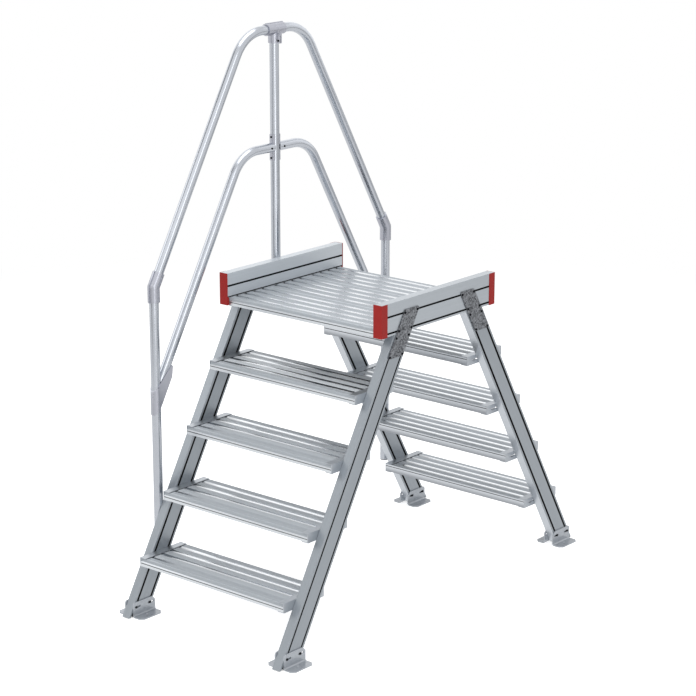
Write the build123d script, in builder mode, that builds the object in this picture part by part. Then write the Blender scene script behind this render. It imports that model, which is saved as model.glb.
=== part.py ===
"""Crossover platform: two flights of treads, a deck between toe boards, bolt-down feet and one handrail.

Millimetres, +Z up. The origin lies on the floor, in the middle of the floor anchors. Y runs along the
way across: the front flight is at -Y and the rear flight at +Y. The handrail is on the left, at -X.
"""
import os
from math import cos, radians, sin, tan

from build123d import *

# Flights and deck
tread_rise = 250.0
treads_per_flight = 4
flight_pitch = 60.0
clear_width = 794.0
nosing_setback = 60.0
deck_plank_count = 3
deck_overhang = 20.0

# Plank extrusion, for treads and deck alike
plank_depth = 240.0
plank_height = 34.0
plank_skin = 6.0
plank_wall = 2.5
plank_web_spacing = 60.0
plank_gap = 1.0
groove_count = 4
groove_spacing = 53.0
groove_width = 20.0
groove_depth = 1.6
nosing_radius = 6.0
nosing_inset = 3.0
nosing_drop = 13.0
nosing_line_drop = 19.5
plank_edge_radius = 1.5
plank_line_drop = 6.5
plank_line_height = 3.0
plank_line_depth = 2.0

# Slotted extrusions: stiles and toe boards
stile_depth = 97.0
stile_width = 40.0
stile_floor_gap = 3.0
profile_wall = 2.5
profile_edge_radius = 1.5
slot_edge = 14.5
slot_mouth = 8.0
slot_lip = 2.5
slot_width = 15.0
slot_depth = 9.0
slot_wall = 2.0
board_height = 135.0
board_drop = 32.0
board_overhang = 9.0
board_slot_edge = 12.5
board_slot_pitch = 68.0

# End caps of the toe boards
cap_plate = 3.5
cap_rim = 1.5
cap_lip_length = 8.0
cap_outer_length = 35.0
cap_peg_length = 12.0
cap_peg_clearance = 0.2

# Brackets at the ends of treads and deck planks
bracket_thickness = 3.0
bracket_flange = 33.0
bracket_slot_length = 62.0
bracket_slot_shift = 22.0
deck_bolt_spacing = 78.5
deck_bracket_top_drop = 5.0

# Gusset plates between stiles and boards
gusset_thickness = 4.0
gusset_side_margin = 7.0
gusset_corner_radius = 7.0
gusset_end_margin = 7.5
gusset_top_margin = 12.5
gusset_stile_reach = 86.0
gusset_stile_edge = 15.0

# Feet
foot_thickness = 5.0
foot_end_margin = 25.5
foot_height = 65.0
foot_base = 53.0
foot_bend_radius = 6.0
foot_base_chamfer = 15.0
foot_rear_chamfer = 16.0
foot_front_radius = 12.0
foot_slot_height = 43.0
foot_slot_length = 32.0
foot_slot_gather = 3.5
foot_setback = 7.0
anchor_hole = 12.0
anchor_offset = 22.0

# Slots in brackets and feet, and the screws that hold the frame together
clamp_slot_height = 8.0
screw_diameter = 6.0
screw_hole = 6.6
screw_head_diameter = 10.5
screw_head_height = 3.3
screw_head_round = 1.6
screw_socket = 4.0
screw_socket_depth = 1.8
frame_screw_length = 12.0
bracket_screw_length = 10.0
nut_side = 14.0
nut_height = 5.0
thread_clearance = 0.05

# Handrail tubes
tube_diameter = 40.0
tube_wall = 2.0
tube_fit = 0.1
rail_rise = 1080.0
rail_half_flat = 182.0
rail_bend_radius = 175.0
mid_rail_rise = 579.0
mid_rail_half_flat = 210.0
mid_rail_bend_radius = 160.0
post_bolt_height = 267.0
post_tail = 20.5
plug_flange = 3.0
plug_length = 12.0

# Handrail fittings
clamp_diameter = 51.0
elbow_arm = 62.0
elbow_screw_reach = 40.0
elbow_rib_width = 7.0
elbow_rib_reach = 29.5
elbow_thread_depth = 4.0
tube_end_gap = 6.0
tee_length = 105.0
tee_drop = 58.0
tee_rib_width = 6.0
tee_rib_height = 28.0
tee_lug_width = 14.0
tee_lug_height = 43.0
tee_lug_reach = 38.0
tee_slit = 2.0
pinch_screw_rise = 11.0
pinch_screw_inset = 7.0
saddle_thickness = 3.5
saddle_chord = 28.0
saddle_height = 112.0
saddle_screw_edge = 11.0
spigot_length = 45.0
spigot_screw_reach = 16.0
wrap_thickness = 3.0
wrap_lower_drop = 90.0
wrap_collar_rise = 12.0
wrap_cheek_start = 42.0
wrap_cheek_reach = 80.0
wrap_cheek_rise = 112.0
wrap_cheek_tip = 6.0
wrap_screw_drop = 35.0
wrap_screw_reach = 40.0
small_screw_diameter = 5.0
small_screw_hole = 5.4
small_head_diameter = 9.0
small_head_height = 2.8
small_screw_length = 9.0
pinch_screw_length = 18.0
post_bolt_grip = 7.0

# Places worked out from the sizes above
front_and_rear = {"front": -1, "rear": 1}
left_and_right = {"left": -1, "right": 1}
slope_cos = cos(radians(flight_pitch))
slope_sin = sin(radians(flight_pitch))
slope_tan = tan(radians(flight_pitch))
tread_going = tread_rise / slope_tan
deck_height = tread_rise * (treads_per_flight + 1)
plank_pitch = plank_depth + plank_gap
plank_length = clear_width - 2 * bracket_thickness
deck_half = (deck_plank_count * plank_pitch - plank_gap) / 2
nosing_reach = deck_half - deck_overhang
slot_pitch = stile_depth - 2 * slot_edge
stile_middle = nosing_reach * slope_sin + deck_height * slope_cos - nosing_setback - stile_depth / 2
stile_slots = (stile_middle - slot_pitch / 2, stile_middle + slot_pitch / 2)
inner_face = clear_width / 2
outer_face = inner_face + stile_width
profile_x = inner_face + stile_width / 2
board_bottom = deck_height - board_drop
board_slots = (board_slot_edge, board_slot_edge + board_slot_pitch)
board_half = deck_half + board_overhang
tube_radius = tube_diameter / 2
bore_radius = tube_radius + tube_fit
clamp_radius = clamp_diameter / 2
rail_x = -(outer_face + tube_radius)
rail_height = deck_height + rail_rise
mid_rail_height = deck_height + mid_rail_rise


def flight_y(line, height):
    """Distance from the middle of the platform, at a height, of a line that runs up along a flight."""
    return (line - height * slope_cos) / slope_sin


def nosing_y(step):
    """Distance from the middle of the platform to the nosing of a tread, counted from the floor."""
    return nosing_reach + (treads_per_flight + 1 - step) * tread_going


post_y = flight_y(stile_slots[0], post_bolt_height)
upper_post_bolt_height = (stile_slots[1] - post_y * slope_sin) / slope_cos
elbow_height = rail_height - (post_y - rail_half_flat) * slope_tan
mid_rail_foot_height = mid_rail_height - (post_y - mid_rail_half_flat) * slope_tan
foot_y = flight_y(stile_middle, foot_slot_height) - foot_setback
tread_bolt_drop = plank_height / 2
deck_bolt_drop = board_drop - board_slot_edge
foot_slot_spacing = slot_pitch / slope_sin - foot_slot_gather
foot_length = foot_slot_spacing + 2 * foot_end_margin


def save(piece, name):
    """Label a finished piece and write it as a node of its own."""
    piece.part.label = name
    export_step(piece.part, f"parts/{name}.step")


def across(x, y=0.0, z=0.0, run=1):
    """Plane square to X through a point: local x points along Y away from the middle, local y up."""
    return Plane(origin=(x, y, z), x_dir=(0, run, 0), z_dir=(run, 0, 0))


def facing(x, y, z, direction, along=(0, 1, 0)):
    """Plane on a side face: its normal points out along X, its local x along the slot there."""
    return Plane(origin=(x, y, z), x_dir=along, z_dir=(direction, 0, 0))


def cut_slots(centres):
    """Cut T-slots into both side faces of the section that is being drawn."""
    cavity = slot_depth - slot_lip
    for centre in centres:
        for face in (-1, 1):
            with Locations((face * (stile_width - slot_lip) / 2, centre)):
                Rectangle(slot_lip, slot_mouth, mode=Mode.SUBTRACT)
            with Locations((face * (stile_width / 2 - slot_lip - cavity / 2), centre)):
                Rectangle(cavity, slot_width, mode=Mode.SUBTRACT)


os.makedirs("parts", exist_ok=True)
wide_core = stile_width - 2 * profile_wall
narrow_core = stile_width - 2 * (slot_depth + slot_wall)

# Stiles: hollow extrusions with two slots on each side face, cut level at the floor and under the boards
with BuildSketch() as stile_section:
    Rectangle(stile_width, stile_depth)
    fillet(stile_section.vertices(), profile_edge_radius)
    Rectangle(wide_core, slot_pitch - slot_width - 2 * slot_wall, mode=Mode.SUBTRACT)
    Rectangle(narrow_core, stile_depth - 2 * profile_wall, mode=Mode.SUBTRACT)
    cut_slots((-slot_pitch / 2, slot_pitch / 2))

for flight, run in front_and_rear.items():
    for hand, side in left_and_right.items():
        floor_point = (side * profile_x, run * flight_y(stile_middle, 0), 0)
        stile_plane = Plane(origin=floor_point, x_dir=(1, 0, 0), z_dir=(0, -run * slope_cos, slope_sin))
        with BuildPart() as stile:
            with BuildSketch(stile_plane.offset(-stile_depth)):
                add(stile_section.sketch)
            extrude(amount=board_bottom / slope_sin + 2 * stile_depth)
            split(bisect_by=Plane.XY.offset(stile_floor_gap), keep=Keep.TOP)
            split(bisect_by=Plane.XY.offset(board_bottom), keep=Keep.BOTTOM)
        save(stile, f"stile_{flight}_{hand}")

# Planks: shallow round grooves on top and a line in each face, open underneath with three webs. One edge is
# a rounded nosing that stands back above a sloped shoulder, the other is square; the deck's inner planks
# have two square edges
groove_radius = (groove_width**2 / 4 + groove_depth**2) / (2 * groove_depth)
half_depth = plank_depth / 2
with BuildSketch() as plank_hollow:
    with Locations((0, -plank_height)):
        Rectangle(plank_depth - 2 * (plank_wall + nosing_inset), plank_height - plank_skin,
                  align=(Align.CENTER, Align.MIN))
    fillet(plank_hollow.vertices().group_by(Axis.Y)[-1], nosing_radius - plank_wall)
    with Locations(*[(step * plank_web_spacing, -plank_height) for step in (-1, 0, 1)]):
        Rectangle(plank_wall, plank_height, align=(Align.CENTER, Align.MIN), mode=Mode.SUBTRACT)

plank_sections = {}
for nosed in (True, False):
    with BuildSketch() as section:
        Rectangle(plank_depth, plank_height, align=(Align.CENTER, Align.MAX))
        if nosed:
            Polygon((half_depth, 0), (half_depth - nosing_inset, 0), (half_depth - nosing_inset, -nosing_drop),
                    (half_depth, -nosing_drop - nosing_inset), align=None, mode=Mode.SUBTRACT)
        fillet(section.vertices().group_by(Axis.Y)[-1].sort_by(Axis.X)[-1],
               nosing_radius if nosed else plank_edge_radius)
        fillet(section.vertices().group_by(Axis.Y)[-1].sort_by(Axis.X)[0], plank_edge_radius)
        with Locations((half_depth, -nosing_line_drop if nosed else -plank_line_drop),
                       (-half_depth, -plank_line_drop)):
            Rectangle(2 * plank_line_depth, plank_line_height, align=(Align.CENTER, Align.MAX),
                      mode=Mode.SUBTRACT)
        with Locations((0, groove_radius - groove_depth)):
            with GridLocations(groove_spacing, 1, groove_count, 1):
                Circle(groove_radius, mode=Mode.SUBTRACT)
        add(plank_hollow.sketch, mode=Mode.SUBTRACT)
    plank_sections[nosed] = section.sketch

plank_places = {}
for flight, run in front_and_rear.items():
    for step in range(1, treads_per_flight + 1):
        tread_middle = run * (nosing_y(step) - plank_depth / 2)
        plank_places[f"tread_{flight}_{step}"] = (tread_middle, step * tread_rise, run, True)
deck_middles = [(place - (deck_plank_count - 1) / 2) * plank_pitch for place in range(deck_plank_count)]
for place, middle in enumerate(deck_middles, start=1):
    outer = place in (1, deck_plank_count)
    plank_places[f"deck_plank_{place}"] = (middle, deck_height, -1 if middle < 0 else 1, outer)

for name, (middle, top, run, nosed) in plank_places.items():
    with BuildPart() as plank:
        with BuildSketch(across(0, middle, top, run)):
            add(plank_sections[nosed])
        extrude(amount=plank_length / 2, both=True)
    save(plank, name)

# Tread end brackets: C-shaped channels over the plank ends, with two slots for the stile screws
tread_bolts = {}
for step in range(1, treads_per_flight + 1):
    bolt_height = step * tread_rise - tread_bolt_drop
    tread_bolts[step] = [(flight_y(line, bolt_height), bolt_height) for line in stile_slots]

for flight, run in front_and_rear.items():
    for hand, side in left_and_right.items():
        with BuildPart() as brackets:
            for step in range(1, treads_per_flight + 1):
                middle = run * (nosing_y(step) - plank_depth / 2)
                end_plane = Plane(origin=(side * inner_face, middle, step * tread_rise),
                                  x_dir=(-side, 0, 0), z_dir=(0, side, 0))
                with BuildSketch(end_plane):
                    with Locations((0, bracket_thickness)):
                        Rectangle(bracket_flange, plank_height + 2 * bracket_thickness,
                                  align=(Align.MIN, Align.MAX))
                    with Locations((bracket_thickness, 0)):
                        Rectangle(bracket_flange, plank_height, align=(Align.MIN, Align.MAX),
                                  mode=Mode.SUBTRACT)
                extrude(amount=plank_depth / 2, both=True)
                with BuildSketch(across(side * inner_face, run=run)):
                    for bolt_y, bolt_height in tread_bolts[step]:
                        with Locations((bolt_y - bracket_slot_shift, bolt_height)):
                            SlotOverall(bracket_slot_length, clamp_slot_height)
                extrude(amount=2 * bracket_thickness, both=True, mode=Mode.SUBTRACT)
        save(brackets, f"tread_brackets_{flight}_{hand}")

# Deck end brackets: angles under the plank ends, screwed to the lower slot inside the toe boards
deck_bolt_height = deck_height - deck_bolt_drop
for hand, side in left_and_right.items():
    with BuildPart() as brackets:
        for middle in deck_middles:
            end_plane = Plane(origin=(side * inner_face, middle, deck_height),
                              x_dir=(-side, 0, 0), z_dir=(0, side, 0))
            with BuildSketch(end_plane):
                with Locations((0, -deck_bracket_top_drop)):
                    Rectangle(bracket_thickness, plank_height - deck_bracket_top_drop,
                              align=(Align.MIN, Align.MAX))
                with Locations((0, -plank_height)):
                    Rectangle(bracket_flange, bracket_thickness, align=(Align.MIN, Align.MAX))
            extrude(amount=plank_depth / 2, both=True)
            with BuildSketch(across(side * inner_face, middle, deck_bolt_height)):
                for shift in (-1, 1):
                    with Locations((shift * deck_bolt_spacing / 2, 0)):
                        SlotOverall(bracket_slot_length, clamp_slot_height)
            extrude(amount=2 * bracket_thickness, both=True, mode=Mode.SUBTRACT)
    save(brackets, f"deck_brackets_{hand}")

# Toe boards: hollow extrusions along the deck, slotted like the stiles
upper_core = board_slots[1] + slot_width / 2 + slot_wall
with BuildSketch() as board_section:
    Rectangle(stile_width, board_height, align=(Align.CENTER, Align.MIN))
    fillet(board_section.vertices(), profile_edge_radius)
    with Locations((0, sum(board_slots) / 2)):
        Rectangle(wide_core, board_slot_pitch - slot_width - 2 * slot_wall, mode=Mode.SUBTRACT)
    with Locations((0, upper_core)):
        Rectangle(wide_core, board_height - profile_wall - upper_core, align=(Align.CENTER, Align.MIN),
                  mode=Mode.SUBTRACT)
    with Locations((0, profile_wall)):
        Rectangle(narrow_core, board_height - 2 * profile_wall, align=(Align.CENTER, Align.MIN),
                  mode=Mode.SUBTRACT)
    cut_slots(board_slots)

for hand, side in left_and_right.items():
    board_plane = Plane(origin=(side * profile_x, 0, board_bottom), x_dir=(1, 0, 0), z_dir=(0, -1, 0))
    with BuildPart() as board:
        with BuildSketch(board_plane):
            add(board_section.sketch)
        extrude(amount=board_half, both=True)
    save(board, f"toe_board_{hand}")

# End caps: plates over the board ends, wrapped round the outer face, with a lip that ends at the deck
# surface and a peg in the upper core
cap_width = stile_width + 2 * cap_rim
for flight, run in front_and_rear.items():
    for hand, side in left_and_right.items():
        cap_end = run * (board_half + cap_plate)
        cap_plane = Plane(origin=(side * profile_x, cap_end, board_bottom), x_dir=(run, 0, 0),
                          z_dir=(0, -run, 0))
        outer_strip = run * side * (stile_width + cap_rim) / 2
        with BuildPart() as cap:
            with BuildSketch(cap_plane):
                with Locations((0, -cap_rim)):
                    Rectangle(cap_width, board_height + cap_rim, align=(Align.CENTER, Align.MIN))
            extrude(amount=cap_plate)
            with BuildSketch(cap_plane):
                with Locations((0, -cap_rim)):
                    Rectangle(cap_width, board_drop + cap_rim, align=(Align.CENTER, Align.MIN))
                Rectangle(stile_width, board_drop, align=(Align.CENTER, Align.MIN), mode=Mode.SUBTRACT)
            extrude(amount=cap_plate + cap_lip_length)
            with BuildSketch(cap_plane):
                with Locations((outer_strip, -cap_rim)):
                    Rectangle(cap_rim, board_height + cap_rim, align=(Align.CENTER, Align.MIN))
            extrude(amount=cap_plate + cap_outer_length)
            with BuildSketch(cap_plane):
                with Locations((0, upper_core + cap_peg_clearance)):
                    Rectangle(wide_core - 2 * cap_peg_clearance,
                              board_height - profile_wall - upper_core - 2 * cap_peg_clearance,
                              align=(Align.CENTER, Align.MIN))
            extrude(amount=cap_plate + cap_peg_length)
        save(cap, f"end_cap_{flight}_{hand}")

# Gusset plates: sheared along the flight, on the outer faces of stile and board
gusset_bottom = board_bottom - gusset_stile_reach - gusset_end_margin
gusset_top = board_bottom + board_slots[1] + gusset_top_margin
gusset_rows = (board_bottom - gusset_stile_reach, board_bottom - gusset_stile_edge,
               board_bottom + board_slots[0], board_bottom + board_slots[1])
gusset_bolts = [(flight_y(line, row), row) for row in gusset_rows for line in stile_slots]
gusset_lines = (stile_slots[0] - gusset_side_margin, stile_slots[1] + gusset_side_margin)
gusset_corners = [(flight_y(gusset_lines[0], gusset_bottom), gusset_bottom),
                  (flight_y(gusset_lines[1], gusset_bottom), gusset_bottom),
                  (flight_y(gusset_lines[1], gusset_top), gusset_top),
                  (flight_y(gusset_lines[0], gusset_top), gusset_top)]
for flight, run in front_and_rear.items():
    for hand, side in left_and_right.items():
        with BuildPart() as gusset:
            with BuildSketch(across(side * outer_face, run=run)) as outline:
                Polygon(*gusset_corners, align=None)
                fillet(outline.vertices(), gusset_corner_radius)
                with Locations(*gusset_bolts):
                    Circle(screw_hole / 2, mode=Mode.SUBTRACT)
            extrude(amount=side * run * gusset_thickness)
        save(gusset, f"gusset_{flight}_{hand}")

# Feet: bent plates on both faces of each stile, slotted for the stile screws, with one anchor hole each
foot_bolts = [(flight_y(line, foot_slot_height), foot_slot_height) for line in stile_slots]
for flight, run in front_and_rear.items():
    for hand, side in left_and_right.items():
        for face, outward in {"outer": side, "inner": -side}.items():
            face_x = side * (outer_face if face == "outer" else inner_face)
            angle_plane = Plane(origin=(face_x, run * foot_y, 0), x_dir=(outward, 0, 0),
                                z_dir=(0, -outward, 0))
            with BuildPart() as foot:
                with BuildSketch(angle_plane) as angle:
                    Rectangle(foot_base, foot_thickness, align=(Align.MIN, Align.MIN))
                    Rectangle(foot_thickness, foot_height, align=(Align.MIN, Align.MIN))
                    bend_inside = angle.vertices().sort_by_distance((foot_thickness, foot_thickness))[0]
                    fillet(bend_inside, foot_bend_radius)
                    fillet(angle.vertices().sort_by_distance((0, 0))[0], foot_bend_radius + foot_thickness)
                extrude(amount=foot_length / 2, both=True)
                top_corners = foot.edges().filter_by(Axis.X).group_by(Axis.Z)[-1].sort_by(Axis.Y)
                fillet(top_corners[-1 if run > 0 else 0], foot_front_radius)
                top_corners = foot.edges().filter_by(Axis.X).group_by(Axis.Z)[-1].sort_by(Axis.Y)
                chamfer(top_corners[0 if run > 0 else -1], foot_rear_chamfer)
                base_corners = foot.edges().filter_by(Axis.Z).group_by(Axis.X)[-1 if outward > 0 else 0]
                chamfer(base_corners, foot_base_chamfer)
                with BuildSketch(across(face_x, run * foot_y, foot_slot_height, run)):
                    with GridLocations(foot_slot_spacing, 1, 2, 1):
                        SlotOverall(foot_slot_length, clamp_slot_height)
                extrude(amount=foot_thickness, both=True, mode=Mode.SUBTRACT)
                with Locations((face_x + outward * anchor_offset, run * foot_y, foot_thickness)):
                    Hole(anchor_hole / 2)
            save(foot, f"foot_{flight}_{hand}_{face}")

# Handrail tubes: bent top rail, two bent mid rail halves and three posts, drilled for their screws
leg_up = {run: Vector(0, -run * slope_cos, slope_sin) for run in front_and_rear.values()}
elbow_corner = {run: Vector(rail_x, run * post_y, elbow_height) for run in front_and_rear.values()}
elbow_screws = {run: (elbow_corner[run] - Vector(0, 0, elbow_screw_reach),
                      elbow_corner[run] + leg_up[run] * elbow_screw_reach)
                for run in front_and_rear.values()}
wrap_corner = {run: Vector(rail_x, run * post_y, mid_rail_foot_height) for run in front_and_rear.values()}
wrap_screws = {run: (wrap_corner[run] - Vector(0, 0, wrap_screw_drop),
                     wrap_corner[run] + leg_up[run] * wrap_screw_reach)
               for run in front_and_rear.values()}
saddle_radius = tube_radius + saddle_thickness
saddle_screw_heights = (mid_rail_height - saddle_height / 2 + saddle_screw_edge,
                        mid_rail_height + saddle_height / 2 - saddle_screw_edge)
spigot_screw_y = saddle_radius + spigot_screw_reach
post_bolts = [(run * post_y, height) for run in front_and_rear.values()
              for height in (post_bolt_height, upper_post_bolt_height)]
post_bolts += [(0, board_bottom + slot) for slot in board_slots]
post_bottoms = [(run * post_y, post_bolt_height - post_tail) for run in front_and_rear.values()]
post_bottoms.append((0, board_bottom + board_slots[0] - post_tail))


def drill_along_x(points, diameter, depth=tube_diameter):
    """Drill the part that is being made along X, right through or down to a depth from its left side."""
    with Locations(*[facing(rail_x - tube_radius, y, z, -1) for y, z in points]):
        Cylinder(diameter / 2, depth, align=(Align.CENTER, Align.CENTER, Align.MAX), mode=Mode.SUBTRACT)


def bent_tube(path_points, bend_radius):
    """Sweep the tube's ring along a path of straight runs and equal bends, in the part being made."""
    with BuildLine() as path:
        FilletPolyline(*path_points, radius=bend_radius)
    start = Plane(origin=path.line @ 0, z_dir=path.line % 0)
    with BuildSketch(start) as ring:
        Circle(tube_radius)
        Circle(tube_radius - tube_wall, mode=Mode.SUBTRACT)
    sweep(sections=ring.sketch, path=path.line)


rail_points = [elbow_corner[-1] + leg_up[-1] * tube_end_gap,
               (rail_x, -rail_half_flat, rail_height), (rail_x, rail_half_flat, rail_height),
               elbow_corner[1] + leg_up[1] * tube_end_gap]
with BuildPart() as top_rail:
    bent_tube(rail_points, rail_bend_radius)
    drill_along_x([(elbow_screws[run][1].Y, elbow_screws[run][1].Z) for run in (-1, 1)], screw_hole)
save(top_rail, "top_rail")

for flight, run in front_and_rear.items():
    with BuildPart() as mid_rail:
        bent_tube([(rail_x, 0, mid_rail_height), (rail_x, run * mid_rail_half_flat, mid_rail_height),
                   wrap_corner[run]], mid_rail_bend_radius)
        with Locations((rail_x, 0, mid_rail_height)):
            Cylinder(saddle_radius + tube_fit, 2 * tube_diameter, mode=Mode.SUBTRACT)
        with Locations(wrap_corner[run]):
            Cylinder(bore_radius, 4 * tube_diameter, mode=Mode.SUBTRACT)
        drill_along_x([(wrap_screws[run][1].Y, wrap_screws[run][1].Z)], small_screw_hole, tube_radius)
        with Locations(facing(rail_x, run * spigot_screw_y, mid_rail_height, 1)):
            Cylinder(small_screw_hole / 2, tube_radius, align=(Align.CENTER, Align.CENTER, Align.MIN),
                     mode=Mode.SUBTRACT)
    save(mid_rail, f"mid_rail_{flight}")

post_tops = {"front": elbow_height - tube_end_gap, "centre": rail_height - bore_radius - tube_fit,
             "rear": elbow_height - tube_end_gap}
post_feet = dict(zip(("front", "rear", "centre"), post_bottoms))
for name, (middle, bottom) in post_feet.items():
    run = front_and_rear.get(name, 0)
    with BuildPart() as post:
        with BuildSketch(Plane(origin=(rail_x, middle, bottom))):
            Circle(tube_radius)
            Circle(tube_radius - tube_wall, mode=Mode.SUBTRACT)
        extrude(amount=post_tops[name] - bottom)
        drill_along_x([bolt for bolt in post_bolts if bolt[0] == middle], screw_hole)
        if run:
            drill_along_x([(middle, elbow_screws[run][0].Z)], screw_hole)
            drill_along_x([(middle, wrap_screws[run][0].Z)], small_screw_hole, tube_radius)
        else:
            with Locations(*[Plane(origin=(rail_x, 0, height), z_dir=(0, 1, 0))
                             for height in saddle_screw_heights]):
                Cylinder(small_screw_hole / 2, tube_diameter, mode=Mode.SUBTRACT)
    save(post, f"post_{name}")

# Plugs: moulded discs with a spigot, pushed into the lower ends of the posts
with BuildPart() as post_plugs:
    with Locations(*[(rail_x, middle, bottom) for middle, bottom in post_bottoms]):
        Cylinder(tube_radius, plug_flange, align=(Align.CENTER, Align.CENTER, Align.MAX))
        Cylinder(tube_radius - tube_wall - tube_fit, plug_length,
                 align=(Align.CENTER, Align.CENTER, Align.MIN))
save(post_plugs, "post_plugs")

# Elbow clamps: two half shells round the meeting ends of a post and the top rail, with a seam rib outside;
# the rear one is the front one's mirror image
elbow_screw_length = clamp_radius + bore_radius + elbow_thread_depth
elbow_rib_lap = elbow_rib_reach * tan(radians(90 - flight_pitch) / 2)
front = front_and_rear["front"]
elbow_arms = (Plane(origin=elbow_corner[front], x_dir=(1, 0, 0), z_dir=(0, 0, -1)),
              Plane(origin=elbow_corner[front], x_dir=(-1, 0, 0), z_dir=leg_up[front]))
for half, kept in {"outer": Keep.BOTTOM, "inner": Keep.TOP}.items():
    with BuildPart() as elbow:
        with Locations(*elbow_arms):
            Cylinder(clamp_radius, elbow_arm, align=(Align.CENTER, Align.CENTER, Align.MIN))
        with Locations(*[arm.offset(-elbow_rib_lap) for arm in elbow_arms]):
            Box(elbow_rib_width, elbow_rib_reach, elbow_arm + elbow_rib_lap,
                align=(Align.CENTER, Align.MIN, Align.MIN))
        with Locations(elbow_corner[front]):
            Sphere(clamp_radius)
        with Locations(*elbow_arms):
            Cylinder(bore_radius, elbow_arm, align=(Align.CENTER, Align.CENTER, Align.MIN),
                     mode=Mode.SUBTRACT)
        with Locations(elbow_corner[front]):
            Sphere(bore_radius, mode=Mode.SUBTRACT)
        split(bisect_by=Plane.YZ.offset(rail_x), keep=kept)
        with Locations(*[facing(rail_x - clamp_radius, point.Y, point.Z, -1)
                         for point in elbow_screws[front]]):
            Cylinder(screw_diameter / 2 + thread_clearance, elbow_screw_length,
                     align=(Align.CENTER, Align.CENTER, Align.MAX), mode=Mode.SUBTRACT)
    save(elbow, f"elbow_front_{half}_half")
    with BuildPart() as rear_elbow:
        mirror(elbow.part, about=Plane.XZ)
    save(rear_elbow, f"elbow_rear_{half}_half")

# Tee clamp: sleeve on the top rail with a seam rib, and a slit collar with a pinch lug on the centre post
tee_middle = Vector(rail_x, 0, rail_height)
lug_middle_height = rail_height - tee_drop + tee_lug_height / 2
pinch_screw_x = rail_x + tee_lug_reach - pinch_screw_inset
pinch_screw_height = rail_height - tee_drop + pinch_screw_rise
with BuildPart() as tee_clamp:
    with Locations(Plane(origin=tee_middle, z_dir=(0, 1, 0))):
        Cylinder(clamp_radius, tee_length)
    with Locations(Plane(origin=tee_middle, z_dir=(0, 0, -1))):
        Cylinder(clamp_radius, tee_drop, align=(Align.CENTER, Align.CENTER, Align.MIN))
    with Locations((rail_x, 0, lug_middle_height)):
        Box(tee_lug_reach, tee_lug_width, tee_lug_height, align=(Align.MIN, Align.CENTER, Align.CENTER))
    with Locations(tee_middle):
        Box(tee_rib_width, tee_length, tee_rib_height, align=(Align.CENTER, Align.CENTER, Align.MIN))
    with Locations(Plane(origin=tee_middle, z_dir=(0, 1, 0))):
        Cylinder(bore_radius, tee_length, mode=Mode.SUBTRACT)
    with Locations(Plane(origin=tee_middle, z_dir=(0, 0, -1))):
        Cylinder(bore_radius, tee_drop, align=(Align.CENTER, Align.CENTER, Align.MIN), mode=Mode.SUBTRACT)
    with Locations((rail_x, 0, rail_height - tee_drop)):
        Box(tee_lug_reach, tee_slit, tee_drop - clamp_radius, align=(Align.MIN, Align.CENTER, Align.MIN),
            mode=Mode.SUBTRACT)
    with Locations(Plane(origin=(pinch_screw_x, 0, pinch_screw_height), z_dir=(0, 1, 0))):
        Cylinder(small_screw_diameter / 2 + thread_clearance, tee_lug_width, mode=Mode.SUBTRACT)
save(tee_clamp, "tee_clamp")

# Saddles: curved plates on the centre post, each with a spigot inside the end of a mid rail half
for flight, run in front_and_rear.items():
    with BuildPart() as saddle:
        with BuildSketch(Plane.XY.offset(mid_rail_height - saddle_height / 2)):
            with Locations((rail_x, 0)):
                Circle(saddle_radius)
                Rectangle(saddle_chord, saddle_radius, mode=Mode.INTERSECT,
                          align=(Align.CENTER, Align.MIN if run > 0 else Align.MAX))
                Circle(bore_radius, mode=Mode.SUBTRACT)
        extrude(amount=saddle_height)
        with Locations(Plane(origin=(rail_x, run * (bore_radius + tube_wall / 2), mid_rail_height),
                             z_dir=(0, run, 0))):
            Cylinder(tube_radius - tube_wall - tube_fit, spigot_length,
                     align=(Align.CENTER, Align.CENTER, Align.MIN))
        with Locations(*[Plane(origin=(rail_x, 0, height), z_dir=(0, 1, 0))
                         for height in saddle_screw_heights]):
            Cylinder(small_screw_hole / 2, tube_diameter + 4 * saddle_thickness, mode=Mode.SUBTRACT)
        with Locations(facing(rail_x, run * spigot_screw_y, mid_rail_height, 1)):
            Cylinder(small_screw_diameter / 2 + thread_clearance, tube_radius,
                     align=(Align.CENTER, Align.CENTER, Align.MIN), mode=Mode.SUBTRACT)
    save(saddle, f"saddle_{flight}")

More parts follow.
